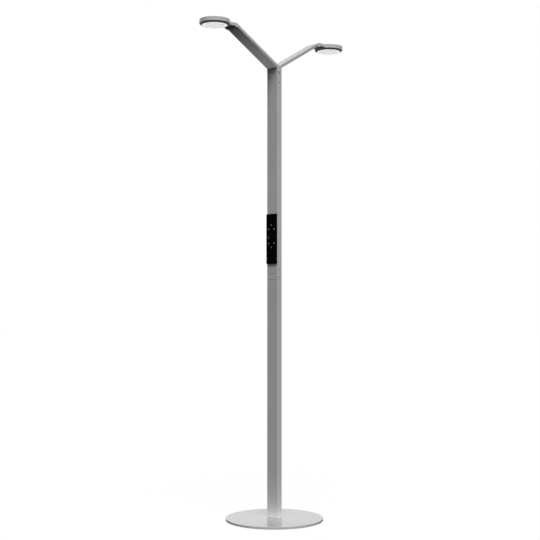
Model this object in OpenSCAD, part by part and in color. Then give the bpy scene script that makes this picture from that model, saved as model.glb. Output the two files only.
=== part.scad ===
// Office floor lamp: a round base, a two-part box post with a touch panel, and two
// arms in a Y that each carry a flat round head on a friction hinge.
// +Z is up, the origin is the middle of the base on the floor, and the panel faces -Y.

/* [Base] */
// Diameter of the base plate
base_d = 400; // [300:10:500]
// Thickness of the base plate
base_t = 10; // [8:1:16]
// Height of the plate above the floor, on its rubber ring
base_gap = 1.5; // [1:0.5:3]
// Radius on the plate's upper and lower rim
base_edge = 1; // [0.5:0.25:2]
// Mean diameter of the rubber floor ring
ring_d = 362; // [240:2:380]
// Width of the rubber floor ring
ring_w = 10; // [6:1:16]
// Depth of the groove that holds the floor ring
ring_seat = 1.5; // [1:0.25:3]
// Spacing of the screws that hold the foot block
foot_screw_gap = 19; // [18:0.5:20]
// Thread diameter of the foot block screws
foot_screw_d = 8; // [6:1:8]
// Length of the foot block screws
foot_screw_l = 30; // [25:1:40]

/* [Post] */
// Width of the post's front face
post_w = 60; // [56:1:80]
// Depth of the post, front to back
post_d = 26; // [24:1:36]
// Wall thickness of the post
post_wall = 2.5; // [2:0.25:3]
// Corner radius of the post
post_r = 1; // [0.5:0.25:2]
// Length of the lower post section
lower_len = 977.6; // [700:0.2:1200]
// Length of the upper post section
upper_len = 859.6; // [700:0.2:1000]
// Width of the shadow gap between sections
seam = 0.8; // [0.2:0.1:1]
// Depth of the shadow gap, down to the rim that the next section rests on
seam_depth = 1.2; // [0.5:0.1:2]
// Height of the foot block inside the post
foot_h = 45; // [42:1:50]
// Wall thickness of the inner sleeves
sleeve_wall = 4; // [3.5:0.25:4]
// Depth that the lower sleeve reaches into the lower post
sleeve_down = 88; // [60:1:150]
// Height that the lower sleeve reaches into the upper post
sleeve_up = 56; // [50:1:58]
// Depth that the crown's sleeve reaches into the upper post
crown_sleeve_down = 62; // [56:1:100]
// Height that the crown's sleeve reaches into the crown
crown_sleeve_up = 13; // [8:1:14]
// Thread diameter of the sleeve and driver screws
side_screw_d = 4; // [3:0.5:5]
// Length of the sleeve and driver screws
side_screw_l = 6.2; // [5:0.1:6.3]
// Heights of the two screws above the lower seam
lower_screw_z = [7.8, 41.2];
// Depths of the two screws below the upper seam
upper_screw_z = [4.6, 44.4];
// Depths of the two rear screws below the lower seam
rear_screw_z = [20, 70];
// Height of the two grub screws above the base plate
grub_z = 22; // [14:1:26]
// Thread diameter of the grub screws
grub_d = 5; // [4:0.5:6]

/* [Lead entry] */
// Height of the lead gland above the base plate
gland_z = 57; // [56:1:62]
// Bore of the gland, for a round lead
gland_bore = 7.2; // [5:0.1:8]
// Diameter of the gland where it passes the post's wall
gland_neck_d = 12.4; // [11:0.1:13]
// Diameter of the gland's outer flange
gland_flange_d = 17; // [15:0.5:20]
// Length of the gland's nose behind the post
gland_nose = 14; // [8:1:18]
// Diameter of the inner supply lead
lead_d = 6; // [4:0.5:6.5]

/* [Panel] */
// Height of the panel's lower edge above the lower seam
panel_rise = 63.8; // [60:0.2:90]
// Height of the panel
panel_h = 207.2; // [180:0.2:240]
// Corner radius of the panel
panel_r = 3.5; // [2:0.5:6]
// Thickness of the front glass
glass_t = 2; // [1.5:0.25:3]
// Thickness of the tray's front flange
flange_t = 2.5; // [2:0.25:4]
// Depth of the tray behind the post's front face
tray_d = 8.6; // [7:0.1:9]
// Wall thickness of the tray
tray_wall = 1.5; // [1:0.25:2]
// Height of the sensor window above the lower seam
sensor_rise = 24.4; // [20:0.2:28]
// Length of the sensor window
sensor_w = 37; // [20:1:40]
// Height of the sensor window
sensor_h = 1.2; // [1:0.2:3]
// Radius of the sensor's light inlet above the window
sensor_r = 3.4; // [2:0.2:5]
// Height of the driver's lower end above the panel
driver_rise = 30; // [20:5:60]
// Length of the driver
driver_l = 182; // [120:1:220]
// Depth of the driver
driver_d = 14; // [10:0.5:16]

/* [Arms] */
// Height of the crown below the fold to the arms
crown_stub = 18.1; // [18:0.1:30]
// Rise of the arms above the horizontal
arm_angle = 30; // [20:1:40]
// Length of an arm from the fold to its hinge axis
arm_len = 262.6; // [180:0.2:320]
// Thickness of an arm
arm_t = 12; // [11:0.5:14]
// Wall thickness of an arm
arm_wall = 2; // [1.5:0.25:2.5]
// Radius of the weld in the valley between the arms
valley_r = 6; // [3:0.5:8]
// Distance from an arm tube's end to its hinge axis
collar_len = 16; // [14:0.5:30]
// Length of the tenon that fixes the hinge block in its arm
tenon_len = 25; // [15:1:40]
// Diameter of the leads inside the arms
arm_lead_d = 4; // [3:0.5:5]
// Spacing of the two arm leads
arm_lead_gap = 12; // [8:1:20]

/* [Head hinge] */
// Radius of the hinge barrel and ears
hinge_r = 8.5; // [7.5:0.25:9]
// Radius of the barrel's core, inside the collar
barrel_core_r = 7.2; // [6:0.1:7.4]
// Thickness of the two ears
ear_t = 4; // [3:0.5:8]
// Diameter of the hinge pin
pin_d = 5; // [4:0.5:7]
// Thickness of the neck
neck_t = 12; // [10:0.5:13]
// Width of the cover under the neck
neck_cover_w = 57; // [30:1:57]
// Thickness of the cover under the neck
neck_cover_t = 1.6; // [1:0.2:2.4]

/* [Head] */
// Radius of the head
head_r = 60.5; // [56:0.5:80]
// Height of the head's side wall
head_h = 16; // [16:0.5:24]
// Distance from the hinge axis to the middle of the head
head_reach = 91.3; // [88:0.1:130]
// Step from the neck's top up to the head's top
head_rise = 2; // [1:0.25:2]
// Wall thickness of the head's shell
shell_wall = 2.5; // [2:0.25:3]
// Thickness of the shell's top
shell_top = 2.2; // [2:0.2:3]
// Radius on the shell's top edge
shell_edge = 1.2; // [0.6:0.2:1.8]
// Radius of the opal lens
lens_r = 50; // [44:0.5:50]
// Thickness of the opal lens
lens_t = 2.4; // [2:0.2:3]
// Drop of the slotted ring below the side wall
vent_drop = 6; // [5:0.5:9]
// Number of slots in the ring
vent_count = 45; // [24:1:60]
// Width of a slot
vent_w = 2.8; // [1.5:0.1:3.2]
// Radius at which the three lens screws sit
lens_screw_r = 33.5; // [26:0.5:38]
// Thread diameter of the screws in the head
head_screw_d = 3; // [2:0.5:3]
// Width of the tongue that joins neck and shell
tongue_w = 40; // [30:1:50]
// Thickness of the tongue
tongue_t = 8; // [6:0.5:9]
// Length of the tongue inside the shell
tongue_len = 13; // [11:0.5:16]
// Number of light sources on the inner circle of the board
led_inner = 8; // [4:1:12]
// Number of light sources on the outer circle of the board
led_outer = 16; // [8:1:24]

/* [Fits] */
// Gap around a piece that slides into another
slide_gap = 0.1; // [0.05:0.05:0.15]
// Gap around a screw's shank in a drilled hole
drill_gap = 0.2; // [0.1:0.05:0.4]
// Gap around a screw's thread in a tapped hole
thread_gap = 0.05; // [0.03:0.01:0.1]
// Radial gap of the hinge pin in the barrel
pin_gap = 0.05; // [0.02:0.01:0.1]
// Gap between turning and fixed faces
turn_gap = 0.4; // [0.3:0.05:0.6]
// Gap between the barrel's ends and the ears
ear_gap = 0.2; // [0.1:0.05:0.4]

/* [Hidden] */
$fn = 96;
// Overshoot of a cutting solid past the face it cuts
cut = 1;
// Larger than any piece, for half-space cuts
huge = 400;

// Heights from the floor up
base_top = base_gap + base_t;
lower_top = base_top + lower_len;
upper_z = lower_top + seam;
upper_top = upper_z + upper_len;
crown_z = upper_top + seam;
fold_z = crown_z + crown_stub;
lower_seam = lower_top + seam / 2;
upper_seam = upper_top + seam / 2;
panel_z = lower_seam + panel_rise;
sensor_z = lower_seam + sensor_rise;
driver_z = panel_z + panel_h + driver_rise;

// The room inside the post, and the sleeves and block that fill it
room_w = post_w - 2 * post_wall;
room_d = post_d - 2 * post_wall;
plug_w = room_w - 2 * slide_gap;
plug_d = room_d - 2 * slide_gap;
front_y = -post_d / 2;
rear_y = post_d / 2;
inner_front_y = front_y + post_wall;
inner_rear_y = rear_y - post_wall;

// Countersunk heads
foot_head_d = 2 * foot_screw_d;
foot_head_sink = 0.3;
// Depth of a tapped hole beyond the end of its screw
thread_run_out = 2;
side_head_d = 1.75 * side_screw_d;
side_head_sink = 0.2;
// A screw's hexagon socket, as a part of its shank and head
sunk_socket_w = 0.75;
sunk_socket_h = 0.9;
pan_socket_w = 0.45;
pan_socket_h = 0.6;

// The grub screws lie just below the post's rear face
grub_start = 2;
grub_inset = 0.4;
grub_socket = 3;

// The terminal block stands clear of the gland, and the lead rises from it
terminal_gap = 2;
terminal_z = base_top + gland_z + gland_flange_d / 2 + terminal_gap;
terminal_w = 28;
terminal_h = 30;
terminal_d = 16;
terminal_screw_in = 7.5;
lead_y = 2.5;

// The tray fills its window in the post, and the board lies in the tray
window_inset = 6;
tray_side_gap = 3.5;
tray_w = room_w - 2 * tray_side_gap;
tray_h = panel_h - 2 * window_inset;
board_t = 1.6;
board_gap = 1;
board_w = tray_w - 2 * (tray_wall + board_gap);
board_h = tray_h - 2 * (tray_wall + board_gap);
tray_front_y = front_y - flange_t;
tray_rear_y = front_y + tray_d;
tray_floor_y = tray_rear_y - tray_wall;
panel_mid_z = panel_z + panel_h / 2;
board_post_l = 2.5;
board_y = tray_floor_y - board_post_l - board_t;
board_screw_in_x = 5;
board_screw_in_z = 8;
board_screw_x = board_w / 2 - board_screw_in_x;
board_screw_z = board_h / 2 - board_screw_in_z;
small_screw_d = 2.5;
board_post_wall = 1.5;
board_post_d = small_screw_d + 2 * board_post_wall;
small_head_d = 5;
small_head_h = 1.6;

// The sensor's board lies behind the window in a notch of the sleeve
sensor_board_w = 42;
sensor_board_h = 14;
sensor_notch_gap = 0.5;
sensor_chip_t = 1;

// The driver lies against the post's rear wall
driver_side_gap = 2;
driver_w = room_w - 2 * driver_side_gap;
driver_r = 1.5;
driver_screw_in = 30;
driver_screw_z = [driver_z + driver_screw_in, driver_z + driver_l - driver_screw_in];

// The room inside an arm, and the length of the channel that meets it in the crown
arm_room_w = post_w - 2 * arm_wall;
arm_room_t = arm_t - 2 * arm_wall;
crown_channel_l = arm_t + 2;

// The hinge axis in the arm's own frame (x along the arm, y above its underside)
hinge_up = arm_t - hinge_r;
tube_end = arm_len - collar_len;
collar_start = tube_end + seam;
// Where the axis lies from the floor and the post's middle
hinge_y = rear_y + arm_len * cos(arm_angle) - hinge_up * sin(arm_angle);
hinge_z = fold_z + arm_len * sin(arm_angle) + hinge_up * cos(arm_angle);
// The line from the arm's lower edge through the axis divides collar and barrel
split_angle = asin(hinge_up / hinge_r);
barrel_half = post_w / 2 - ear_t - ear_gap;
turn_r = hinge_r + turn_gap;
// Number of flats on the lip's curve
lip_steps = 16;
// A turning edge stops where it would be thinner than this
lip_t = 1;
lip_cut = sqrt(turn_r * turn_r - (hinge_r - lip_t) * (hinge_r - lip_t));
core_gap = slide_gap;
bore_r = pin_d / 2 + pin_gap;
pin_inset = 0.3;

// The neck in the hinge's frame (x outward from the axis, y up)
neck_low = hinge_r - neck_t;
cover_margin = 1.5;
cover_start = turn_r + cover_margin;
cover_end = head_reach - head_r - cover_margin;
cover_gap = 0.15;
channel_w = 12;
channel_h = 4;

// The head in its own frame (origin at the middle of the wall's lower rim)
head_up = hinge_r + head_rise - head_h;
ceiling = head_h - shell_top;
// Depth to which bosses and pads run into the shell's top
root = shell_top / 2;
tongue_z = neck_low - head_up + (neck_t - tongue_t) / 2;
tongue_screw_in = 8;
tongue_screw_x = tongue_w / 2 - tongue_screw_in;
tongue_screw_y = -(head_r - shell_wall - tongue_len / 2);
pad_w = 9;
// The tongue's window passes the curved wall also at the tongue's edges
window_w = tongue_w + 2 * slide_gap;
window_depth = head_r - sqrt(pow(head_r - shell_wall, 2) - pow(window_w / 2, 2)) + cut;
pan_head_d = 1.8 * head_screw_d;
pan_head_h = 1.8;
// Depth to which the neck's screws reach into the shell's top
screw_root = 1;
neck_screw_l = ceiling + screw_root - tongue_z;

// The slotted ring and the lens that lies in it
ring_step = 0.4;
ring_out_r = head_r - ring_step;
ring_in_r = lens_r + slide_gap;
ring_rim_w = 0.6;
ring_rim_h = 0.8;
lens_inset = 0.3;
lens_z = -vent_drop + lens_inset;
ledge_w = 2.5;
ledge_r = lens_r - ledge_w;
ledge_z = lens_z + lens_t + slide_gap;
lip_h = 1.8;
lip_r = head_r - shell_wall - slide_gap;
// Width of the plain rims inside and outside the slots
vent_rim = 2.1;
vent_in_r = lens_r + vent_rim;
vent_out_r = head_r - vent_rim;
// Thickness of the ring that the slots leave under the shell
vent_roof = 1;

// The board over the lens, and its light sources
led_board_gap = 0.4;
led_board_r = ledge_r - led_board_gap;
led_board_lift = 2.4;
led_board_z = lens_z + lens_t + led_board_lift;
led_board_t = 1.6;
led_w = 3.5;
led_h = 0.8;
led_inner_r = 17;
led_rim = 5;
led_outer_r = led_board_r - led_rim;
boss_r = 4;
boss_z = led_board_z + led_board_t;
lens_head_r = 2.7;
lens_head_h = 1.1;
// Distances of the lens screws and of their holes from the shell's ceiling
lens_screw_short = 5;
lens_hole_short = 1;
lens_screw_l = ceiling - lens_screw_short - lens_z - lens_head_h;

// Places the children at the arm that rises towards the rear, x across, y along, z up
module on_arm() translate([0, rear_y, fold_z]) rotate([arm_angle, 0, 0]) children();
// Places the children at the hinge axis of the rear arm, y outward
module on_hinge() translate([0, hinge_y, hinge_z]) children();
// Places the children at the rear head
module on_head() on_hinge() translate([0, head_reach, head_up]) children();
// Turns a piece of the rear arm into the same piece of the front arm
module to_front() rotate([0, 0, 180]) children();
// Extrudes a side outline (drawn as Y and Z) across the lamp's width
module across(width) rotate([90, 0, 90]) linear_extrude(width, center = true) children();
// Extrudes an outline drawn as X and Z towards the rear, from y = 0
module rearward(depth)
  rotate([90, 0, 0]) translate([0, 0, -depth]) linear_extrude(depth) children();
// A round bar across the lamp's width
module cross_bar(r, width) rotate([0, 90, 0]) cylinder(h = width, r = r, center = true);

// A rectangle with rounded corners, centred on the origin
module rounded_rect(w, d, r) {
  square([w - 2 * r, d], center = true);
  square([w, d - 2 * r], center = true);
  for (x = [-1, 1], y = [-1, 1])
    translate([x * (w / 2 - r), y * (d / 2 - r)]) circle(r = r);
}

// A box tube that stands on z = 0, with rounded outer corners
module box_tube(w, d, wall, r, length) {
  linear_extrude(length) difference() {
    rounded_rect(w, d, r);
    square([w - 2 * wall, d - 2 * wall], center = true);
  }
}

// The rim in a shadow gap: it fills the gap from z = 0 up to its bottom all round
module seam_rim(w, d) linear_extrude(seam)
  rounded_rect(w - 2 * seam_depth, d - 2 * seam_depth, post_r / 2);

// A countersunk screw with a hexagon socket: the head's face is at z = 0 and the
// shank runs up to z = length
module sunk_screw(d, head_d, length) {
  head_h = (head_d - d) / 2;
  difference() {
    union() {
      cylinder(h = head_h, d1 = head_d, d2 = d);
      cylinder(h = length, d = d);
    }
    translate([0, 0, -cut])
      cylinder(h = head_h * sunk_socket_h + cut, d = d * sunk_socket_w, $fn = 6);
  }
}

// The hole for a countersunk screw, open at z = 0
module sunk_hole(d, head_d, length) {
  head_h = (head_d - d) / 2;
  translate([0, 0, -cut]) cylinder(h = length + cut, d = d + 2 * drill_gap);
  cylinder(h = head_h, d1 = head_d + 2 * drill_gap, d2 = d + 2 * drill_gap);
  translate([0, 0, -cut]) cylinder(h = cut, d = head_d + 2 * drill_gap);
}

// A pan-head screw whose head hangs under z = 0, with its shank up to z = length
module pan_screw(d, head_d, head_h, length) {
  difference() {
    union() {
      translate([0, 0, -head_h]) cylinder(h = head_h, d = head_d);
      cylinder(h = length, d = d);
    }
    translate([0, 0, -head_h - cut])
      cylinder(h = head_h * pan_socket_h + cut, d = head_d * pan_socket_w, $fn = 6);
  }
}

// ---- Base ----

module floor_ring() color("dimgray") {
  chamfer = 0.4;
  half = ring_w / 2;
  top = base_gap + ring_seat;
  rotate_extrude() translate([ring_d / 2, 0]) polygon([
    [-half + chamfer, 0], [half - chamfer, 0], [half, chamfer], [half, top],
    [-half, top], [-half, chamfer]
  ]);
}

module foot_screw_places() for (i = [-1:1]) translate([i * foot_screw_gap, 0, 0]) children();

module base_plate() color("gainsboro") difference() {
  translate([0, 0, base_gap]) rotate_extrude() {
    square([base_d / 2 - base_edge, base_t]);
    translate([0, base_edge]) square([base_d / 2, base_t - 2 * base_edge]);
    for (z = [base_edge, base_t - base_edge])
      translate([base_d / 2 - base_edge, z]) circle(r = base_edge);
  }
  rotate_extrude() translate([ring_d / 2 - ring_w / 2 - slide_gap, 0])
    square([ring_w + 2 * slide_gap, base_gap + ring_seat + slide_gap]);
  translate([0, 0, base_gap + foot_head_sink]) foot_screw_places()
    sunk_hole(foot_screw_d, foot_head_d, base_t + cut);
}

module base_screws() color("dimgray")
  translate([0, 0, base_gap + foot_head_sink]) foot_screw_places()
    sunk_screw(foot_screw_d, foot_head_d, foot_screw_l);

// The two grub screws stand between the three screws below, and point to the rear
module grub_places()
  for (x = [-1, 1]) translate([x * foot_screw_gap / 2, 0, base_top + grub_z])
    rotate([-90, 0, 0]) children();

module foot_block() color("silver") difference() {
  thread_r = foot_screw_d / 2 + thread_gap;
  thread_l = base_gap + foot_head_sink + foot_screw_l - base_top + thread_run_out;
  translate([-plug_w / 2, -plug_d / 2, base_top]) cube([plug_w, plug_d, foot_h]);
  translate([0, 0, base_top - cut]) foot_screw_places() cylinder(h = thread_l + cut, r = thread_r);
  grub_places() cylinder(h = rear_y, d = grub_d + 2 * thread_gap);
}

module foot_grubs() color("dimgray") grub_places() difference() {
  translate([0, 0, grub_start]) cylinder(h = rear_y - grub_inset - grub_start, d = grub_d);
  translate([0, 0, rear_y - grub_socket]) cylinder(h = grub_socket, d = grub_d / 2, $fn = 6);
}

// ---- Post ----

// Screws through both sides of the post, heads outward, at the heights given
module side_places(heights)
  for (z = heights, side = [0, 180])
    rotate([0, 0, side]) translate([post_w / 2 - side_head_sink, 0, z])
      rotate([0, -90, 0]) children();

// Screws through the rear of the post, heads outward, at the heights given
module rear_places(heights)
  for (z = heights) translate([0, rear_y - side_head_sink, z]) rotate([90, 0, 0]) children();

lower_side_heights = [for (z = lower_screw_z) lower_seam + z];
upper_side_heights = [for (z = upper_screw_z) upper_seam - z];
rear_heights = [for (z = rear_screw_z) lower_seam - z];

module side_hole() sunk_hole(side_screw_d, side_head_d, post_wall + cut);
module side_screw() sunk_screw(side_screw_d, side_head_d, side_screw_l);
// A tapped hole in a sleeve, on the axis of a screw in the post
module tapped_hole()
  cylinder(h = post_wall + sleeve_wall + cut, d = side_screw_d + 2 * thread_gap);
// A round hole through the post's rear wall, on an axis that points to the rear
module rear_hole(d)
  translate([0, 0, inner_rear_y - cut]) cylinder(h = post_wall + 2 * cut, d = d);

module lower_post() color("silver") difference() {
  translate([0, 0, base_top]) box_tube(post_w, post_d, post_wall, post_r, lower_len);
  rear_places(rear_heights) side_hole();
  grub_places() rear_hole(grub_d + 2 * drill_gap);
  translate([0, 0, base_top + gland_z]) rotate([-90, 0, 0])
    rear_hole(gland_neck_d + 2 * slide_gap);
}

// The gland snaps into the post's rear wall with a lip on the inside
module lead_gland() color("dimgray") {
  bore = gland_bore / 2;
  neck_r = gland_neck_d / 2;
  flange_r = gland_flange_d / 2;
  chamfer = 0.8;
  flange_y = rear_y + 2;
  lip_y = inner_rear_y - slide_gap;
  lip_start = lip_y - 2 * chamfer;
  nose_r = neck_r - chamfer;
  nose_y = rear_y + gland_nose;
  translate([0, 0, base_top + gland_z]) rotate([-90, 0, 0]) rotate_extrude() polygon([
    [bore, lip_start], [neck_r, lip_start], [neck_r + chamfer, lip_start + chamfer],
    [neck_r + chamfer, lip_y], [neck_r, lip_y], [neck_r, rear_y], [flange_r, rear_y],
    [flange_r, flange_y - chamfer], [flange_r - chamfer, flange_y], [neck_r, flange_y],
    [nose_r, nose_y - chamfer], [nose_r - chamfer, nose_y], [bore, nose_y]
  ]);
}

// A block with two poles, each with two screws at the rear and a wire from below
module terminal_block() color("whitesmoke") {
  terminal_y = inner_front_y + slide_gap;
  screw_hole = 5;
  wire_hole = 3.5;
  difference() {
    translate([-terminal_w / 2, terminal_y, terminal_z]) cube([terminal_w, terminal_d, terminal_h]);
    for (x = [-1, 1] * terminal_w / 4) {
      for (z = [terminal_screw_in, terminal_h - terminal_screw_in])
        translate([x, terminal_y + terminal_d + cut, terminal_z + z])
          rotate([90, 0, 0]) cylinder(h = screw_hole + cut, d = screw_hole);
      translate([x, terminal_y + terminal_d / 2, terminal_z - cut])
        cylinder(h = terminal_h / 4 + cut, d = wire_hole);
    }
  }
}

module supply_lead() color("white")
  translate([0, lead_y, terminal_z + terminal_h])
    cylinder(h = driver_z - terminal_z - terminal_h, d = lead_d);

module joint_sleeve() color("silver") difference() {
  notch_w = sensor_board_w + 2 * sensor_notch_gap;
  notch_h = sensor_board_h + 2 * sensor_notch_gap;
  union() {
    translate([0, 0, lower_seam - sleeve_down])
      box_tube(plug_w, plug_d, sleeve_wall, post_r / 2, sleeve_down + sleeve_up);
    translate([0, 0, lower_top]) seam_rim(post_w, post_d);
  }
  translate([0, 0, lower_top - cut]) sleeve_room(seam + 2 * cut);
  side_places(lower_side_heights) tapped_hole();
  rear_places(rear_heights) tapped_hole();
  translate([-notch_w / 2, inner_front_y - cut, sensor_z - notch_h / 2])
    cube([notch_w, sleeve_wall + slide_gap + 2 * cut, notch_h]);
}

// The room inside a sleeve
module sleeve_room(length)
  linear_extrude(length) square([plug_w - 2 * sleeve_wall, plug_d - 2 * sleeve_wall], center = true);

module joint_screws() color("gray") {
  side_places(lower_side_heights) side_screw();
  rear_places(rear_heights) side_screw();
}

// The sensor's outline on the post's front: a slim bar with a small round inlet on it
module sensor_outline(gap) {
  square([sensor_w - sensor_h + 2 * gap, sensor_h + 2 * gap], center = true);
  for (x = [-1, 1]) translate([x * (sensor_w - sensor_h) / 2, 0]) circle(d = sensor_h + 2 * gap);
  intersection() {
    circle(r = sensor_r + gap);
    translate([-sensor_w / 2, 0]) square([sensor_w, sensor_w]);
  }
}

module upper_post() color("silver") difference() {
  translate([0, 0, upper_z]) box_tube(post_w, post_d, post_wall, post_r, upper_len);
  translate([-tray_w / 2 - slide_gap, front_y - cut, panel_z + window_inset - slide_gap])
    cube([tray_w + 2 * slide_gap, post_wall + 2 * cut, tray_h + 2 * slide_gap]);
  translate([0, front_y - cut, sensor_z]) rearward(post_wall + 2 * cut) sensor_outline(slide_gap);
  side_places(concat(lower_side_heights, upper_side_heights)) side_hole();
  rear_places(driver_screw_z) side_hole();
}

// ---- Control panel ----

module board_screw_places()
  for (x = [-1, 1], z = [-1, 1])
    translate([x * board_screw_x, board_y, panel_mid_z + z * board_screw_z])
      rotate([-90, 0, 0]) children();

module panel_tray() color("black") difference() {
  union() {
    translate([0, tray_front_y, panel_mid_z])
      rearward(flange_t) rounded_rect(post_w, panel_h, panel_r);
    translate([-tray_w / 2, tray_front_y, panel_mid_z - tray_h / 2])
      cube([tray_w, tray_rear_y - tray_front_y, tray_h]);
  }
  difference() {
    translate([-tray_w / 2 + tray_wall, tray_front_y - cut, panel_mid_z - tray_h / 2 + tray_wall])
      cube([tray_w - 2 * tray_wall, tray_floor_y - tray_front_y + cut, tray_h - 2 * tray_wall]);
    board_screw_places() translate([0, 0, board_t]) cylinder(h = board_post_l + cut, d = board_post_d);
  }
  board_screw_places()
    cylinder(h = board_t + board_post_l + tray_wall / 2, d = small_screw_d + 2 * thread_gap);
}

module panel_board() color("darkgreen") difference() {
  translate([0, board_y, panel_mid_z]) rearward(board_t) square([board_w, board_h], center = true);
  board_screw_places() translate([0, 0, -cut])
    cylinder(h = board_t + 2 * cut, d = small_screw_d + 2 * drill_gap);
}

module panel_screws() color("silver")
  board_screw_places() pan_screw(small_screw_d, small_head_d, small_head_h, board_t + board_post_l);

module panel_glass() color("black")
  translate([0, tray_front_y - glass_t, panel_mid_z])
    rearward(glass_t) rounded_rect(post_w, panel_h, panel_r);

module sensor_window() color("gray")
  translate([0, front_y, sensor_z]) rearward(post_wall) sensor_outline(0);

module sensor_board() color("darkgreen") {
  board_front = inner_front_y + slide_gap;
  translate([0, board_front, sensor_z])
    rearward(board_t) square([sensor_board_w, sensor_board_h], center = true);
  translate([0, board_front + board_t, sensor_z])
    rearward(sensor_chip_t) square([2 * sensor_r, 2 * sensor_r], center = true);
}

// ---- Driver ----

module driver_unit() color("lightgray") difference() {
  translate([0, inner_rear_y - driver_d / 2 - slide_gap, driver_z])
    linear_extrude(driver_l) rounded_rect(driver_w, driver_d, driver_r);
  rear_places(driver_screw_z) cylinder(h = side_screw_l + cut, d = side_screw_d + 2 * thread_gap);
}

module driver_screws() color("gray") rear_places(driver_screw_z) side_screw();

// ---- Crown and arms ----

// Side outline of the crown: the post's depth up to the folds, then the two slopes of
// the arms' tops down to the valley between them
module crown_outline() {
  slope_y = rear_y - arm_t * sin(arm_angle);
  slope_z = fold_z + arm_t * cos(arm_angle);
  valley_z = slope_z - slope_y * tan(arm_angle);
  // The weld's circle touches both slopes
  reach = valley_r * sin(arm_angle);
  fillet_z = valley_z + reach * tan(arm_angle);
  rise = valley_r / cos(arm_angle);
  polygon([
    [front_y, crown_z], [rear_y, crown_z], [rear_y, fold_z], [slope_y, slope_z],
    [0, valley_z], [-slope_y, slope_z], [front_y, fold_z]
  ]);
  difference() {
    polygon([[0, valley_z], [reach, fillet_z], [-reach, fillet_z]]);
    translate([0, valley_z + rise]) circle(r = valley_r);
  }
}

// The channel that carries an arm's lead through the crown, in the arm's frame
module crown_channel() on_arm()
  translate([-arm_room_w / 2, -crown_channel_l, arm_wall])
    cube([arm_room_w, crown_channel_l + cut, arm_room_t]);

module crown() color("silver") difference() {
  across(post_w) crown_outline();
  translate([-room_w / 2, -room_d / 2, crown_z - cut])
    cube([room_w, room_d, crown_stub - post_wall + cut]);
  crown_channel();
  to_front() crown_channel();
}

module crown_sleeve() color("silver") difference() {
  union() {
    translate([0, 0, upper_seam - crown_sleeve_down])
      box_tube(plug_w, plug_d, sleeve_wall, post_r / 2, crown_sleeve_down + crown_sleeve_up);
    translate([0, 0, upper_top]) seam_rim(post_w, post_d);
  }
  translate([0, 0, upper_top - cut]) sleeve_room(seam + 2 * cut);
  side_places(upper_side_heights) tapped_hole();
}

module crown_screws() color("gray") side_places(upper_side_heights) side_screw();

// An arm tube from the crown's face to its collar
module arm() on_arm() translate([0, 0, arm_t / 2]) rotate([-90, 0, 0])
  box_tube(post_w, arm_t, arm_wall, post_r, tube_end);

// The lead that rises from the driver, turns in the crown and runs along an arm
module arm_lead() {
  upright_y = 2;
  lead_up = arm_t / 2;
  // Where the upright crosses the arm's middle line
  turn_s = (upright_y - rear_y + lead_up * sin(arm_angle)) / cos(arm_angle);
  turn_z = fold_z + turn_s * sin(arm_angle) + lead_up * cos(arm_angle);
  lead_start = driver_z + driver_l;
  elbow_swell = 0.8;
  translate([arm_lead_gap / 2, 0, 0]) {
    translate([0, upright_y, lead_start]) cylinder(h = turn_z - lead_start, d = arm_lead_d);
    translate([0, upright_y, turn_z]) sphere(d = arm_lead_d + elbow_swell);
    on_arm() translate([0, turn_s, lead_up]) rotate([-90, 0, 0])
      cylinder(h = tube_end - tenon_len - turn_s, d = arm_lead_d);
  }
}

// Turns the children, drawn at the hinge axis, to the line that divides collar and barrel
module on_split() translate([0, arm_len, hinge_up]) rotate([split_angle, 0, 0]) children();

// Side outline of the collar between the ears, in the arm's frame: the arm's section up
// to the dividing line, and a lip that follows the barrel
module collar_outline() polygon(concat(
  [[collar_start, arm_t], [collar_start, 0], [arm_len - hinge_r * cos(split_angle), 0]],
  [for (i = [0:lip_steps]) let (a = split_angle + (90 - split_angle) * i / lip_steps)
    [arm_len + hinge_r * cos(a), hinge_up + hinge_r * sin(a)]]
));

// The hinge block: a tenon in the arm tube, a collar that goes on with the arm's
// section as far as the ears turn, and a lip that wraps over the barrel between them
module hinge_block() on_arm() {
  translate([0, tube_end - tenon_len, arm_t / 2]) rotate([-90, 0, 0])
    linear_extrude(tenon_len + seam + cut)
      square([arm_room_w - 2 * slide_gap, arm_room_t - 2 * slide_gap], center = true);
  translate([0, tube_end, arm_t / 2]) rotate([-90, 0, 0]) seam_rim(post_w, arm_t);
  difference() {
    translate([0, collar_start, arm_t / 2]) rotate([-90, 0, 0])
      linear_extrude(arm_len - lip_cut - collar_start) rounded_rect(post_w, arm_t, post_r);
    translate([0, arm_len, hinge_up]) cross_bar(turn_r, post_w + 2 * cut);
  }
  across(2 * barrel_half) difference() {
    collar_outline();
    translate([arm_len, hinge_up]) circle(r = barrel_core_r + core_gap);
  }
}

// The friction barrel: the collar grips its core, and its lower half shows under the hinge
module barrel() on_arm() difference() {
  union() {
    translate([0, arm_len, hinge_up]) cross_bar(barrel_core_r, 2 * barrel_half);
    difference() {
      translate([0, arm_len, hinge_up]) cross_bar(hinge_r, 2 * barrel_half);
      on_split() translate([-huge, -huge, -slide_gap]) cube([2 * huge, 2 * huge, huge]);
    }
  }
  translate([0, arm_len, hinge_up]) cross_bar(bore_r, post_w);
}

// ---- Head ----

module pin() on_hinge() cross_bar(pin_d / 2, post_w - 2 * pin_inset);

// Side outline of the neck between hinge and head
module neck_slab(start) translate([start, neck_low]) square([head_reach - start, neck_t]);

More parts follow.
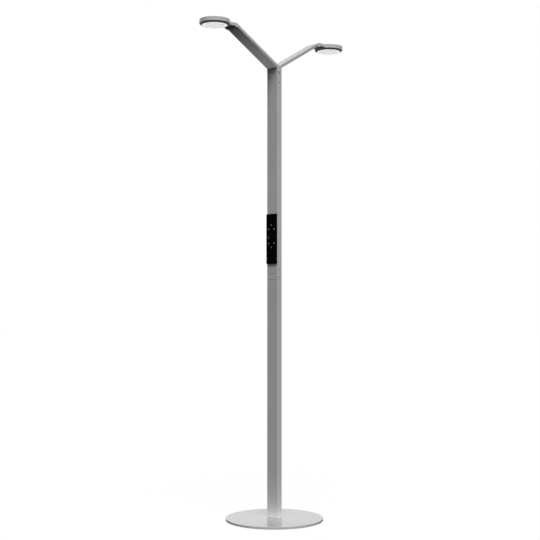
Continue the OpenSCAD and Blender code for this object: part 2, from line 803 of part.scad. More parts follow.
module neck() on_hinge() difference() {
  union() {
    across(post_w - 2 * ear_t) neck_slab(lip_cut);
    for (side = [-1, 1]) translate([side * (post_w - ear_t) / 2, 0, 0]) {
      across(ear_t) neck_slab(0);
      cross_bar(hinge_r, ear_t);
    }
  }
  cross_bar(turn_r, post_w - 2 * ear_t);
  cross_bar(bore_r, post_w + 2 * cut);
  difference() {
    translate([0, head_reach, neck_low - cut])
      cylinder(h = neck_t + 2 * cut, r = head_r + slide_gap / 2);
    translate([0, head_reach, head_up]) tongue();
  }
  translate([-neck_cover_w / 2 - cover_gap, cover_start - cover_gap, neck_low - cut])
    cube([
      neck_cover_w + 2 * cover_gap, cover_end - cover_start + 2 * cover_gap,
      neck_cover_t + slide_gap + cut
    ]);
  translate([-channel_w / 2, 0, neck_low - cut])
    cube([channel_w, cover_end, neck_cover_t + channel_h + cut]);
}

// The tongue on the neck's end, in the head's frame
module tongue() difference() {
  translate([-tongue_w / 2, -head_r - slide_gap, tongue_z])
    cube([tongue_w, shell_wall + slide_gap + tongue_len, tongue_t]);
  tongue_screw_places() translate([0, 0, -cut])
    cylinder(h = tongue_t + 2 * cut, d = head_screw_d + 2 * drill_gap);
}

module tongue_screw_places()
  for (x = [-1, 1]) translate([x * tongue_screw_x, tongue_screw_y, tongue_z]) children();

module neck_cover() on_hinge()
  translate([-neck_cover_w / 2, cover_start, neck_low])
    cube([neck_cover_w, cover_end - cover_start, neck_cover_t]);

module neck_screws() on_head()
  tongue_screw_places() pan_screw(head_screw_d, pan_head_d, pan_head_h, neck_screw_l);

module lens_screw_places()
  for (i = [0:2]) rotate([0, 0, 90 + 120 * i]) translate([lens_screw_r, 0, 0]) children();

// The cast shell: top, side wall, three bosses for the lens and two pads for the neck
module shell() on_head() difference() {
  union() {
    rotate_extrude() difference() {
      union() {
        square([head_r, head_h - shell_edge]);
        square([head_r - shell_edge, head_h]);
        translate([head_r - shell_edge, head_h - shell_edge]) circle(r = shell_edge);
      }
      translate([-cut, -cut]) square([head_r - shell_wall + cut, ceiling + cut]);
    }
    lens_screw_places() translate([0, 0, boss_z]) cylinder(h = ceiling + root - boss_z, r = boss_r);
    tongue_screw_places() translate([-pad_w / 2, -pad_w / 2, tongue_t])
      cube([pad_w, pad_w, ceiling + root - tongue_z - tongue_t]);
  }
  translate([-window_w / 2, -head_r - cut, tongue_z - slide_gap])
    cube([window_w, window_depth + cut, tongue_t + 2 * slide_gap]);
  tongue_screw_places() cylinder(h = neck_screw_l, d = head_screw_d + 2 * thread_gap);
  lens_screw_places() cylinder(h = ceiling - lens_hole_short, d = head_screw_d + 2 * thread_gap);
}

// The dark ring under the shell's wall: a sloping rim cut by radial slots
module vent_ring() on_head() difference() {
  rotate_extrude() polygon([
    [ring_in_r, -vent_drop], [ring_in_r + ring_rim_w, -vent_drop], [ring_out_r, -ring_rim_h],
    [ring_out_r, 0], [lip_r, 0], [lip_r, lip_h], [ledge_r, lip_h], [ledge_r, ledge_z],
    [ring_in_r, ledge_z]
  ]);
  for (i = [0:vent_count - 1]) rotate([0, 0, 360 * (i + 0.5) / vent_count])
    translate([vent_in_r, -vent_w / 2, -vent_drop - cut])
      cube([vent_out_r - vent_in_r, vent_w, vent_drop + cut - vent_roof]);
}

// The opal lens, with three sunk seats for its screws and posts up to the board
module lens() on_head() difference() {
  union() {
    translate([0, 0, lens_z]) cylinder(h = lens_t, r = lens_r);
    lens_screw_places() translate([0, 0, lens_z]) cylinder(h = led_board_z - lens_z, r = boss_r);
  }
  lens_screw_places() translate([0, 0, lens_z - cut]) {
    cylinder(h = led_board_z - lens_z + 2 * cut, d = head_screw_d + 2 * drill_gap);
    cylinder(h = lens_head_h + cut, r = lens_head_r + drill_gap);
  }
}

module lens_screws() on_head() lens_screw_places() translate([0, 0, lens_z + lens_head_h])
  pan_screw(head_screw_d, 2 * lens_head_r, lens_head_h, lens_screw_l);

// The board, with two circles of light sources on its underside
module led_board() on_head() difference() {
  union() {
    translate([0, 0, led_board_z]) cylinder(h = led_board_t, r = led_board_r);
    for (ring = [[led_inner, led_inner_r], [led_outer, led_outer_r]], i = [0:ring[0] - 1])
      rotate([0, 0, 360 * i / ring[0]]) translate([ring[1] - led_w / 2, -led_w / 2, led_board_z - led_h])
        cube([led_w, led_w, led_h + cut / 2]);
  }
  lens_screw_places() translate([0, 0, led_board_z - cut])
    cylinder(h = led_board_t + 2 * cut, d = head_screw_d + 2 * drill_gap);
}

// ---- The same pieces on the front and the rear arm ----

module front_arm() color("silver") to_front() arm();
module rear_arm() color("silver") arm();
module front_arm_lead() color("white") to_front() arm_lead();
module rear_arm_lead() color("white") arm_lead();
module front_hinge_block() color("silver") to_front() hinge_block();
module rear_hinge_block() color("silver") hinge_block();
module front_barrel() color("black") to_front() barrel();
module rear_barrel() color("black") barrel();
module front_pin() color("gray") to_front() pin();
module rear_pin() color("gray") pin();
module front_neck() color("silver") to_front() neck();
module rear_neck() color("silver") neck();
module front_neck_cover() color("black") to_front() neck_cover();
module rear_neck_cover() color("black") neck_cover();
module front_neck_screws() color("gray") to_front() neck_screws();
module rear_neck_screws() color("gray") neck_screws();
module front_shell() color("silver") to_front() shell();
module rear_shell() color("silver") shell();
module front_vent_ring() color("dimgray") to_front() vent_ring();
module rear_vent_ring() color("dimgray") vent_ring();
module front_lens() color("white") to_front() lens();
module rear_lens() color("white") lens();
module front_lens_screws() color("gray") to_front() lens_screws();
module rear_lens_screws() color("gray") lens_screws();
module front_led_board() color("whitesmoke") to_front() led_board();
module rear_led_board() color("whitesmoke") led_board();

floor_ring();
base_plate();
base_screws();
foot_block();
lower_post();
foot_grubs();
lead_gland();
terminal_block();
supply_lead();
joint_sleeve();
joint_screws();
upper_post();
panel_tray();
panel_board();
panel_screws();
panel_glass();
sensor_window();
sensor_board();
driver_unit();
driver_screws();
crown();
crown_sleeve();
crown_screws();
front_arm();
rear_arm();
front_arm_lead();
rear_arm_lead();
front_hinge_block();
rear_hinge_block();
front_barrel();
rear_barrel();
front_pin();
rear_pin();
front_neck();
rear_neck();
front_neck_cover();
rear_neck_cover();
front_neck_screws();
rear_neck_screws();
front_shell();
rear_shell();
front_vent_ring();
rear_vent_ring();
front_lens();
rear_lens();
front_lens_screws();
rear_lens_screws();
front_led_board();
rear_led_board();
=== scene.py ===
# The office floor lamp, dressed on its CAD frame: satin silver post and arms, a glossy
# silver base, a black touch panel with generic symbols, and two round light heads.
import math

import bmesh
import bpy
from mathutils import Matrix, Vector


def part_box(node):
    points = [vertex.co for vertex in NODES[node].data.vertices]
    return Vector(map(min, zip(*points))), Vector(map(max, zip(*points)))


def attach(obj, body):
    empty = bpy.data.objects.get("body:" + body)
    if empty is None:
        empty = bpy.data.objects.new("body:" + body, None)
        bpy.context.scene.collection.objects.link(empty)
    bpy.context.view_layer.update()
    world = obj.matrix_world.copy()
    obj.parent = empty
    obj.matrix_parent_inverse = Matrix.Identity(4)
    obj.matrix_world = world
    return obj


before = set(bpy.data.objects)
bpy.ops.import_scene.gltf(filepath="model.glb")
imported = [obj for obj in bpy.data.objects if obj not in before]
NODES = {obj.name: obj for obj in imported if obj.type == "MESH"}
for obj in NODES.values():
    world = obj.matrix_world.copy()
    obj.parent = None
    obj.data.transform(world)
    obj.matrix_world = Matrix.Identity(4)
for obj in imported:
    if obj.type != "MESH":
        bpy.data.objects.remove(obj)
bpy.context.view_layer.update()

SIDES = ("front", "rear")

# ---- Light levels ----

# Soft lamps: the azimuth and height that the light comes from, its power, and its
# angle, with the angles in degrees
LAMPS = {
    "key": (-31, 64, 2.15, 40),
    "front": (-31, 50, 1.15, 40),
    "left": (172, 25, 1.20, 45),
    "back": (138, 25, 0.60, 45),
    "bounce": (0, -90, 0.45, 60),
}
# Only a lamp that is higher than this shows in gloss. The others leave their glare to
# the white background.
GLARE_HEIGHT = 50
# The light that the base throws up at the post's foot: its power, its width, and how
# far it lies above the base
FOOT_LIGHT = (0.064, 0.15, 0.001)
# Brightness of the studio's air for diffuse light, and of the background itself
AIR = 0.01
WHITE = 1.0
# How much of the floor's white depends on the light that falls on it
FLOOR_SHADE = 0.08
FLOOR_WIDTH = 60
# The background, the floor and the symbols glow, but aren't sampled as lights: the
# samples go to the lamps and the lenses, and the picture has fewer specks
UNSAMPLED = "NONE"

# ---- Camera ----

CAMERA_PLACE = (3.27564, -3.17931, 0.87711)
# Turns about X and Z in degrees
CAMERA_RISE = 91.904
CAMERA_TURN = 45.855
# Width of the sensor and focal length in millimetres
CAMERA_SENSOR = 36
CAMERA_LENS = 73.54
CAMERA_SHIFT = -0.00817
CAMERA_REACH = 100

# ---- Node helpers ----

# How well the rounded normal agrees with the true one on flat ground, and on an edge
FLAT, EDGE = 0.995, 0.86
# The share of open sky at which the painted shade in a corner is at its darkest
CORNER_SKY = 0.72
# Z of the normal where a face begins to look down, and where it does so fully
LOOKS_DOWN, FULLY_DOWN = -0.3, -0.6


def add(tree, kind, inputs=None, **settings):
    """Adds a shader node. An input takes a value, or an output of another node."""
    made = tree.nodes.new("ShaderNode" + kind)
    for name, value in settings.items():
        setattr(made, name, value)
    for name, value in (inputs or {}).items():
        if isinstance(value, bpy.types.NodeSocket):
            tree.links.new(value, made.inputs[name])
        else:
            made.inputs[name].default_value = value
    return made


def maths(tree, operation, first, second=0.0):
    return add(tree, "Math", {0: first, 1: second}, operation=operation).outputs[0]


def between(tree, value, low, high, out_low=0.0, out_high=1.0):
    """Maps a value from one range to another, and holds it there."""
    made = add(tree, "MapRange", {0: value, 1: low, 2: high, 3: out_low, 4: out_high})
    return made.outputs[0]


def place(tree, stretch=(1, 1, 1), tilt=0.0):
    """Places on the object in metres, first turned about X by tilt, then stretched."""
    spot = add(tree, "TexCoord").outputs["Object"]
    if tilt:
        spot = add(tree, "Mapping", {"Vector": spot, "Rotation": (tilt, 0, 0)}).outputs[0]
    return add(tree, "Mapping", {"Vector": spot, "Scale": stretch}).outputs[0]


def axis(tree, vector, letter):
    """One axis of a vector."""
    return add(tree, "SeparateXYZ", {0: vector}).outputs[letter]


def noise(tree, spot, scale, detail=2.0, roughness=0.5):
    made = add(tree, "TexNoise", {"Vector": spot, "Scale": scale, "Detail": detail,
                                  "Roughness": roughness})
    return made.outputs["Fac"]


def cells(tree, spot, scale):
    """A random grey for each small cell, as metal flakes or grains."""
    made = add(tree, "TexVoronoi", {"Vector": spot, "Scale": scale})
    return add(tree, "SeparateColor", {0: made.outputs["Color"]}).outputs[0]


def edges(tree, radius):
    """1 on edges of up to this radius and 0 on flat ground."""
    rounded = add(tree, "Bevel", {"Radius": radius}, samples=4).outputs[0]
    ground = add(tree, "NewGeometry").outputs["Normal"]
    same = add(tree, "VectorMath", {0: rounded, 1: ground}, operation="DOT_PRODUCT")
    return between(tree, same.outputs["Value"], FLAT, EDGE)


def corners(tree, reach, dark):
    """Painted shade: 1 in the open, down to dark in inner corners that lie within this
    reach.
    """
    open_sky = add(tree, "AmbientOcclusion", {"Distance": reach}, samples=8).outputs["AO"]
    return between(tree, open_sky, CORNER_SKY, 1.0, dark, 1.0)


def where(tree, mask, factor):
    """The factor where the mask is 1, and 1 where it is 0."""
    change = maths(tree, "MULTIPLY", mask, maths(tree, "SUBTRACT", factor, 1.0))
    return maths(tree, "ADD", change, 1.0)


def above(tree, height, factor):
    """The factor above this height, and 1 below it."""
    high = maths(tree, "GREATER_THAN", axis(tree, place(tree), "Z"), height)
    return where(tree, high, factor)


def underside_light_and_shade(tree, near, far, inner, outer):
    """Painted light and shade on faces that look down: 1 elsewhere, and on those faces
    from inner to outer as the distance from the post along Y goes from near to far."""
    normal = add(tree, "NewGeometry").outputs["Normal"]
    down = between(tree, axis(tree, normal, "Z"), LOOKS_DOWN, FULLY_DOWN)
    reach = maths(tree, "ABSOLUTE", axis(tree, place(tree), "Y"))
    return where(tree, down, between(tree, reach, near, far, inner, outer))


def weighted(tree, parts):
    """The sum of (factor - 0.5) x weight over the parts, around 0.5."""
    total = 0.5
    for factor, weight in parts:
        swing = maths(tree, "MULTIPLY", maths(tree, "SUBTRACT", factor, 0.5), weight)
        total = maths(tree, "ADD", swing, total)
    return total


def grey(level):
    return (level, level, level, 1.0)


def blend_colour(tree, factor, first, second):
    made = add(tree, "Mix", {0: factor}, data_type="RGBA")
    for index, colour in ((6, first), (7, second)):
        if isinstance(colour, bpy.types.NodeSocket):
            tree.links.new(colour, made.inputs[index])
        else:
            made.inputs[index].default_value = colour
    return made.outputs[2]


def toned(tree, factor, level, swing):
    """A grey that the factor moves around the level, by this share of it each way."""
    return blend_colour(tree, factor, grey(level * (1 - swing)), grey(level * (1 + swing)))


def dimmed(tree, colour, factor):
    made = add(tree, "VectorMath", {0: colour, "Scale": factor}, operation="SCALE")
    return made.outputs[0]


def material(name):
    made = bpy.data.materials.new(name)
    made.use_nodes = True
    tree = made.node_tree
    return made, tree, tree.nodes["Principled BSDF"]


def roughen(tree, shader, rough, parts):
    """Roughness around this one, uneven by the weighted parts."""
    uneven = maths(tree, "ADD", weighted(tree, parts), rough - 0.5)
    tree.links.new(uneven, shader.inputs["Roughness"])


def bump(tree, shader, height, strength, distance):
    made = add(tree, "Bump", {"Height": height, "Strength": strength, "Distance": distance})
    tree.links.new(made.outputs[0], shader.inputs["Normal"])


# ---- Materials ----

# Draw lines are fine across the metal and long along it, and the smears on the glass
# are wide and lean a little
DRAW_STRETCH = (1300, 1300, 6)
SMEAR_STRETCH = (60, 60, 26)
SMEAR_TILT = 0.3
# How far from a fold its painted corner shade reaches, close up and further off, and the
# height from which the folds get this painted shade
FOLD_SHADE_REACH = (0.012, 0.12)
FOLD_SHADE_FROM = 1.5
# The middle of the front lens, as a distance from the post, and the lens's radius
LENS_LOW, LENS_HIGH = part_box("front_lens")
LENS_Y = abs(LENS_LOW.y + LENS_HIGH.y) / 2
LENS_R = (LENS_HIGH.x - LENS_LOW.x) / 2
# The painted highlight that lightens the lens toward its edge, in shares of its radius
HIGHLIGHT_FROM, HIGHLIGHT_TO = 0.72, 0.98


def silver(name, level, rough, tilt=0.0, lines=0.0, coat=0.0, wear_and_highlight=0.5, spread=0.14,
           spec=0.06, metallic=0.04, fold=None, under=None):
    """Silver finish: fine flakes, cloudy variation, draw lines along Z (turned by tilt)
    where lines is above 0, edges lighter in patches, where rubbed and as a painted
    highlight, and a gloss coat if asked for. spread is how far its tone varies,
    wear_and_highlight is how bright its edges are, fold is how dark the painted shade in
    the inner corners under the arms is, close up and further off, and under is the painted
    light and shade on faces that look down, as the underside function takes it."""
    made, tree, shader = material(name)
    spot = place(tree)
    flakes = cells(tree, spot, scale=2600)
    grain = noise(tree, spot, scale=1500, detail=3)
    cloud = noise(tree, spot, scale=7, detail=3)
    draw = noise(tree, place(tree, DRAW_STRETCH, tilt), scale=1.0)
    tone = weighted(tree, [(flakes, 0.5), (grain, 0.5), (cloud, 0.5), (draw, lines)])
    base = toned(tree, tone, level, spread)
    # Edges lighter in patches: partly rubbed paint, partly a painted highlight
    patches = between(tree, noise(tree, spot, scale=90, detail=3), 0.35, 0.7)
    rubbed_and_lit_edges = maths(tree, "MULTIPLY", edges(tree, radius=0.0008), patches)
    worn_and_highlit = maths(tree, "MULTIPLY", rubbed_and_lit_edges, wear_and_highlight)
    base = blend_colour(tree, worn_and_highlit, base, grey(level * 1.35))
    # Painted shade: the inner corners under the arms are darkened, above a given height
    if fold:
        close_by, further = (corners(tree, reach, dark) for reach, dark in zip(FOLD_SHADE_REACH, fold))
        shade = above(tree, FOLD_SHADE_FROM, maths(tree, "MULTIPLY", close_by, further))
        base = dimmed(tree, base, shade)
    # Painted light and shade on faces that look down
    if under:
        base = dimmed(tree, base, underside_light_and_shade(tree, *under))
    tree.links.new(base, shader.inputs["Base Color"])
    roughen(tree, shader, rough, [(cloud, 0.25), (grain, 0.12), (draw, 0.3 * lines)])
    shader.inputs["Metallic"].default_value = metallic
    shader.inputs["Specular IOR Level"].default_value = spec
    if coat:
        shader.inputs["Coat Weight"].default_value = coat
        shader.inputs["Coat Roughness"].default_value = 0.02
        shader.inputs["Coat IOR"].default_value = 1.38
    height = maths(tree, "ADD", maths(tree, "MULTIPLY", grain, 0.5),
                   maths(tree, "MULTIPLY", draw, lines))
    bump(tree, shader, height, strength=0.12, distance=0.00006)
    return made


def moulded(name, level, rough, grain_scale=1800, spec=0.3, swing=0.3):
    """Moulded plastic or rubber with a fine spark-eroded grain."""
    made, tree, shader = material(name)
    spot = place(tree)
    grain = noise(tree, spot, grain_scale, detail=3, roughness=0.6)
    cloud = noise(tree, spot, scale=25, detail=3)
    tone = weighted(tree, [(grain, 0.9), (cloud, 0.6)])
    base = toned(tree, tone, level, swing)
    # Edges lighter: partly rubbed, partly a painted highlight
    edge = maths(tree, "MULTIPLY", edges(tree, radius=0.0005), 0.5)
    base = blend_colour(tree, edge, base, grey(level * 1.5 + 0.004))
    tree.links.new(base, shader.inputs["Base Color"])
    roughen(tree, shader, rough, [(cloud, 0.2), (grain, 0.15)])
    shader.inputs["Specular IOR Level"].default_value = spec
    bump(tree, shader, grain, strength=0.25, distance=0.00008)
    return made


def panel_black(name):
    """Black glass with a little dust, and a trace of fingerprints in its roughness."""
    made, tree, shader = material(name)
    smear = noise(tree, place(tree, SMEAR_STRETCH, SMEAR_TILT), scale=1.0, detail=4,
                  roughness=0.6)
    dust = between(tree, cells(tree, place(tree), scale=900), 0.985, 1.0)
    base = blend_colour(tree, dust, grey(0.0045), grey(0.012))
    tree.links.new(base, shader.inputs["Base Color"])
    rough = between(tree, smear, 0.35, 0.7, out_low=0.10, out_high=0.22)
    tree.links.new(rough, shader.inputs["Roughness"])
    shader.inputs["Specular IOR Level"].default_value = 0.0
    bump(tree, shader, smear, strength=0.03, distance=0.0001)
    return made


def metal(name, level, rough):
    """Bare turned or pressed metal for screws, pins and sleeves."""
    made, tree, shader = material(name)
    spot = place(tree)
    grain = noise(tree, spot, scale=2400, detail=3, roughness=0.6)
    cloud = noise(tree, spot, scale=220)
    tone = weighted(tree, [(grain, 0.7), (cloud, 0.5)])
    tree.links.new(toned(tree, tone, level, swing=0.25), shader.inputs["Base Color"])
    roughen(tree, shader, rough, [(cloud, 0.3)])
    shader.inputs["Metallic"].default_value = 0.35
    bump(tree, shader, grain, strength=0.2, distance=0.00005)
    return made


def from_lens_middle(tree):
    """Distance from a head's upright axis, for either head."""
    spot = add(tree, "SeparateXYZ", {0: place(tree)}).outputs
    off = maths(tree, "SUBTRACT", maths(tree, "ABSOLUTE", spot["Y"]), LENS_Y)
    flat = add(tree, "CombineXYZ", {"X": spot["X"], "Y": off}).outputs[0]
    return add(tree, "VectorMath", {0: flat}, operation="LENGTH").outputs["Value"]


def opal(name):
    """Opal diffuser: milky, with a matt grain; its soft glow is painted light, and a
    painted highlight makes it brighter to its edge.
    """
    made, tree, shader = material(name)
    spot = place(tree)
    milk = noise(tree, spot, scale=18, detail=3)
    grain = noise(tree, spot, scale=2200)
    tone = weighted(tree, [(milk, 0.8), (grain, 0.4)])
    base = blend_colour(tree, tone, grey(0.78), grey(0.86))
    tree.links.new(base, shader.inputs["Base Color"])
    # Painted light: the lens glows, and a painted highlight brightens its outer ring
    glow = blend_colour(tree, tone, grey(0.42), grey(0.47))
    painted_border_highlight = between(tree, from_lens_middle(tree), HIGHLIGHT_FROM * LENS_R, HIGHLIGHT_TO * LENS_R)
    glow = blend_colour(tree, painted_border_highlight, glow, grey(0.60))
    tree.links.new(glow, shader.inputs["Emission Color"])
    shader.inputs["Emission Strength"].default_value = 1.0
    rough = between(tree, grain, 0.3, 0.7, out_low=0.38, out_high=0.5)
    tree.links.new(rough, shader.inputs["Roughness"])
    shader.inputs["Specular IOR Level"].default_value = 0.3
    bump(tree, shader, grain, strength=0.15, distance=0.00005)
    return made


# The draw lines of an arm run along it
ARM_TILT = math.radians(60)
DRAWN = 0.9
# Painted light and shade on the arms' faces that look down, as the underside function
# takes them: lighter at the crown and much darker toward the heads
ARM_UNDERSIDE_LIGHT_AND_SHADE = (0.03, 0.235, 1.37, 0.33)
# Silver with no gloss at all
MATT = {"spec": 0.0, "metallic": 0.0}

POST = silver("post_silver", level=0.595, rough=0.42, lines=DRAWN)
UPPER_POST = silver("upper_post_silver", level=0.62, rough=0.42, lines=DRAWN,
                    fold=(0.48, 0.47))
# The two arms are one silver at two levels for how the light falls on each: a lit copy for
# the front arm and a shaded copy for the rear arm
FRONT_ARM = silver("front_arm_silver", level=0.68, rough=0.42, tilt=-ARM_TILT, lines=DRAWN,
                   under=ARM_UNDERSIDE_LIGHT_AND_SHADE, **MATT)
REAR_ARM = silver("rear_arm_silver", level=0.57, rough=0.42, tilt=ARM_TILT, lines=DRAWN,
                  under=ARM_UNDERSIDE_LIGHT_AND_SHADE, **MATT)
# The crown's faces that look down get painted light near the post, and the hinge blocks'
# get painted shade
CROWN = silver("crown_silver", level=0.68, rough=0.45, fold=(0.4, 0.53),
               under=(0.013, 0.05, 1.42, 1.24), **MATT)
CAST = silver("cast_silver", level=0.63, rough=0.45, under=(0.2, 0.25, 0.29, 0.23), **MATT)
HEAD = silver("head_silver", level=0.69, rough=0.42, spec=0.08)
# The base's top and rim are one paint at two levels: a shaded copy for the brightly lit top
# and a lit copy for the rim
BASE = silver("base_silver", level=0.34, rough=0.34, coat=1.0, wear_and_highlight=0.3, spread=0.07,
              spec=0.1)
RIM = silver("rim_silver", level=0.64, rough=0.50, spread=0.07, spec=0.0)
BARE = silver("plain_aluminium", level=0.50, rough=0.40, lines=1.2)
SLOTTED = moulded("slotted_grey", level=0.085, rough=0.5)
BLACK = moulded("black_plastic", level=0.005, rough=0.5, spec=0.06)
RUBBER = moulded("black_rubber", level=0.02, rough=0.75, grain_scale=900)
GLAND = moulded("gland_black", level=0.02, rough=0.5)
PANEL = panel_black("panel_black")
TRAY = moulded("tray_black", level=0.006, rough=0.45, spec=0.1)
SENSOR = moulded("sensor_grey", level=0.30, rough=0.35, spec=0.4, swing=0.15)
OPAL = opal("opal_lens")
STEEL = metal("screw_steel", level=0.26, rough=0.38)
SLEEVE = metal("sleeve_steel", level=0.05, rough=0.5)
DARK_STEEL = metal("screw_dark", level=0.06, rough=0.45)
PIN_STEEL = metal("pin_steel", level=0.5, rough=0.3)
WHITE_PLASTIC = moulded("white_plastic", level=0.7, rough=0.45, swing=0.08)
CASE = moulded("driver_case", level=0.55, rough=0.45, swing=0.1)
GREEN = moulded("board_green", level=0.06, rough=0.4)

FINISH = {
    "floor_ring": RUBBER, "base_plate": BASE, "base_screws": DARK_STEEL,
    "foot_block": BARE, "lower_post": POST, "foot_grubs": DARK_STEEL,
    "lead_gland": GLAND, "terminal_block": WHITE_PLASTIC, "supply_lead": WHITE_PLASTIC,
    "joint_sleeve": SLEEVE, "joint_screws": STEEL, "upper_post": UPPER_POST,
    "panel_tray": TRAY, "panel_board": GREEN, "panel_screws": STEEL, "panel_glass": PANEL,
    "sensor_window": SENSOR, "sensor_board": GREEN, "driver_unit": CASE,
    "driver_screws": STEEL, "crown": CROWN, "crown_sleeve": SLEEVE, "crown_screws": STEEL,
    "front_arm": FRONT_ARM, "rear_arm": REAR_ARM,
}
HEAD_FINISH = {
    "arm_lead": WHITE_PLASTIC, "hinge_block": CAST, "barrel": BLACK, "pin": PIN_STEEL,
    "neck": HEAD, "neck_cover": BLACK, "neck_screws": STEEL, "shell": HEAD,
    "vent_ring": SLOTTED, "lens": OPAL, "lens_screws": BLACK, "led_board": WHITE_PLASTIC,
}
for side in SIDES:
    FINISH.update({side + "_" + name: finish for name, finish in HEAD_FINISH.items()})

for name, finish in FINISH.items():
    mesh = NODES[name].data
    mesh.materials.clear()
    mesh.materials.append(finish)


def finish_below(name, finish, limit):
    """Gives a second finish to the faces whose normal's Z is under the limit."""
    mesh = NODES[name].data
    mesh.materials.append(finish)
    for face in mesh.polygons:
        face.material_index = 1 if face.normal.z < limit else 0


# Only the base's flat top has the gloss coat
finish_below("base_plate", RIM, 0.99)
# The faces of the necks that look down are painted black: painted shade under the necks
for side in SIDES:
    finish_below(side + "_neck", BLACK, LOOKS_DOWN)

# ---- Symbols on the panel ----

# The glass's front face, how thick the print is, and the usual width of its strokes
GLASS_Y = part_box("panel_glass")[0].y
PRINT_T = 0.00006
PRINT_LINE = 0.0007
# The columns of symbols lie this far to each side of the panel's middle
SIDE_X = 0.0160
UPRIGHT = math.radians(90)
SUN_RAYS = 8
LEVEL_BARS = 7


def print_material():
    made, tree, shader = material("mark_print")
    made.cycles.emission_sampling = UNSAMPLED
    tone = noise(tree, place(tree), scale=2600)
    base = blend_colour(tree, tone, grey(0.55), grey(0.75))
    tree.links.new(base, shader.inputs["Base Color"])
    rough = between(tree, tone, 0.3, 0.7, out_low=0.5, out_high=0.6)
    tree.links.new(rough, shader.inputs["Roughness"])
    # The print also glows faintly: painted light
    shader.inputs["Emission Color"].default_value = grey(1.0)
    shader.inputs["Emission Strength"].default_value = 0.1
    return made


PRINT = print_material()


def prism(mesh, outline):
    """Adds a thin solid on the glass from an outline of (x, z) points."""
    front = [mesh.verts.new((x, GLASS_Y - PRINT_T, z)) for x, z in outline]
    back = [mesh.verts.new((x, GLASS_Y, z)) for x, z in outline]
    mesh.faces.new(front)
    mesh.faces.new(back[::-1])
    for i in range(len(outline)):
        j = (i + 1) % len(outline)
        mesh.faces.new((front[i], back[i], back[j], front[j]))


def bar(x, z, length, turn=0.0, width=PRINT_LINE):
    """Outline of a straight stroke around (x, z), turned from level."""
    c, s = math.cos(turn), math.sin(turn)
    ends = ((-0.5, -0.5), (0.5, -0.5), (0.5, 0.5), (-0.5, 0.5))
    return [(x + u * length * c - v * width * s, z + u * length * s + v * width * c)
            for u, v in ends]


def arc(x, z, radius, start=0.0, end=360.0, width=PRINT_LINE, steps=24):
    """Outlines of the short strokes that make a ring or a part of one."""
    made = []
    for i in range(steps):
        a = math.radians(start + (end - start) * i / steps)
        b = math.radians(start + (end - start) * (i + 1) / steps)
        inner, outer = radius - width / 2, radius + width / 2
        made.append([(x + inner * math.cos(a), z + inner * math.sin(a)),
                     (x + outer * math.cos(a), z + outer * math.sin(a)),
                     (x + outer * math.cos(b), z + outer * math.sin(b)),
                     (x + inner * math.cos(b), z + inner * math.sin(b))])
    return made


def mark(name, outlines):
    """Prints a symbol on the glass."""
    mesh = bmesh.new()
    for outline in outlines:
        prism(mesh, outline)
    bmesh.ops.remove_doubles(mesh, verts=mesh.verts, dist=1e-6)
    bmesh.ops.recalc_face_normals(mesh, faces=mesh.faces)
    data = bpy.data.meshes.new(name)
    mesh.to_mesh(data)
    mesh.free()
    made = bpy.data.objects.new(name, data)
    bpy.context.scene.collection.objects.link(made)
    data.materials.append(PRINT)
    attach(made, "stand")


def chevron(z, up):
    """Two strokes that meet in a point, above (up is 1) or below (up is -1)."""
    lean = math.radians(58) * up
    half = 0.0012
    length, width = 0.0052, 0.0009
    return [bar(-half, z, length, lean, width), bar(half, z, length, -lean, width)]


def sun(z, radius):
    """A ring with short rays around it, in the left column."""
    made = arc(-SIDE_X, z, radius, steps=16)
    reach = radius + 0.0011
    for i in range(SUN_RAYS):
        turn = math.tau * i / SUN_RAYS
        x = -SIDE_X + reach * math.cos(turn)
        made.append(bar(x, z + reach * math.sin(turn), 0.0007, turn))
    return made


mark("mark_up", chevron(1.2146, up=1))
mark("mark_down", chevron(1.1219, up=-1))
mark("mark_bright", sun(1.1974, radius=0.0015))
mark("mark_dim", sun(1.1390, radius=0.0011))
# Short bars that grow longer upward
mark("mark_level", [bar(-SIDE_X, 1.1548 + 0.0023 * i, length=0.0010 + 0.0004 * i,
                        width=0.0004) for i in range(LEVEL_BARS)])
mark("mark_power", arc(SIDE_X, 1.1976, radius=0.0024, start=-235, end=55)
     + [bar(SIDE_X, 1.1997, length=0.0026, turn=UPRIGHT)])
mark("mark_dot", [bar(SIDE_X + 0.001, 1.1668, length=0.0022, width=0.0008)])
# A clock's face with its two hands
mark("mark_timer", arc(SIDE_X, 1.1388, radius=0.0025)
     + [bar(SIDE_X, 1.1395, length=0.0018, turn=UPRIGHT),
        bar(SIDE_X + 0.0007, 1.1386, length=0.0015)])

# ---- Studio ----


def lamp(name, azimuth, height, power, softness):
    data = bpy.data.lights.new(name, "SUN")
    data.energy = power
    data.angle = math.radians(softness)
    made = bpy.data.objects.new(name, data)
    turn, rise = math.radians(azimuth), math.radians(height)
    came_from = Vector((math.cos(rise) * math.cos(turn), math.cos(rise) * math.sin(turn),
                        math.sin(rise)))
    made.rotation_euler = came_from.to_track_quat("Z", "Y").to_euler()
    made.visible_glossy = height > GLARE_HEIGHT
    bpy.context.scene.collection.objects.link(made)


def foot_light(power, width, gap):
    data = bpy.data.lights.new("foot", "AREA")
    data.shape = "DISK"
    data.energy = power
    data.size = width
    made = bpy.data.objects.new("foot", data)
    made.location = (0, 0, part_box("base_plate")[1].z + gap)
    made.rotation_euler = (math.pi, 0, 0)
    made.visible_camera = False
    made.visible_glossy = False
    bpy.context.scene.collection.objects.link(made)


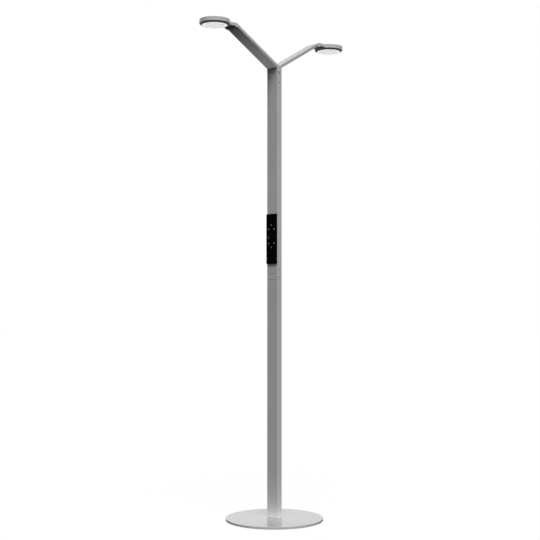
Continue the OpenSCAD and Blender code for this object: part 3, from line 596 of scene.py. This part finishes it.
def seen_directly(tree):
    """1 for rays that show the background: from the camera, in gloss and through glass."""
    ray = add(tree, "LightPath").outputs
    either = maths(tree, "MAXIMUM", ray["Is Camera Ray"], ray["Is Glossy Ray"])
    return maths(tree, "MAXIMUM", either, ray["Is Transmission Ray"])


def studio_world():
    world = bpy.data.worlds.new("studio")
    bpy.context.scene.world = world
    world.use_nodes = True
    world.cycles.sampling_method = UNSAMPLED
    tree = world.node_tree
    air = tree.nodes["Background"]
    extra = maths(tree, "MULTIPLY", seen_directly(tree), WHITE - AIR)
    tree.links.new(maths(tree, "ADD", AIR, extra), air.inputs["Strength"])
    air.inputs["Color"].default_value = grey(1.0)


def studio_floor():
    """A white floor that glows with what the light on it leaves short of white."""
    bpy.ops.mesh.primitive_plane_add(size=FLOOR_WIDTH)
    floor = bpy.context.object
    floor.name = "floor"
    floor.visible_shadow = False
    made, tree, shader = material("floor_white")
    made.cycles.emission_sampling = UNSAMPLED
    tree.nodes.remove(shader)
    light = AIR
    for _, height, power, _ in LAMPS.values():
        light += power * max(math.sin(math.radians(height)), 0) / math.pi
    shade = add(tree, "BsdfDiffuse", {"Color": grey(FLOOR_SHADE)}).outputs[0]
    missing = maths(tree, "MULTIPLY", seen_directly(tree), WHITE - FLOOR_SHADE * light)
    glow = add(tree, "Emission", {"Strength": missing}).outputs[0]
    both = add(tree, "AddShader", {0: shade, 1: glow}).outputs[0]
    tree.links.new(both, tree.nodes["Material Output"].inputs["Surface"])
    floor.data.materials.append(made)


def camera():
    data = bpy.data.cameras.new("camera")
    data.sensor_fit = "HORIZONTAL"
    data.sensor_width = CAMERA_SENSOR
    data.lens = CAMERA_LENS
    data.shift_x = CAMERA_SHIFT
    data.clip_end = CAMERA_REACH
    made = bpy.data.objects.new("camera", data)
    made.location = CAMERA_PLACE
    made.rotation_euler = (math.radians(CAMERA_RISE), 0, math.radians(CAMERA_TURN))
    bpy.context.scene.collection.objects.link(made)
    bpy.context.scene.camera = made


for name, facts in LAMPS.items():
    lamp(name, *facts)
foot_light(*FOOT_LIGHT)
studio_world()
studio_floor()
camera()
bpy.context.scene.view_settings.view_transform = "Standard"
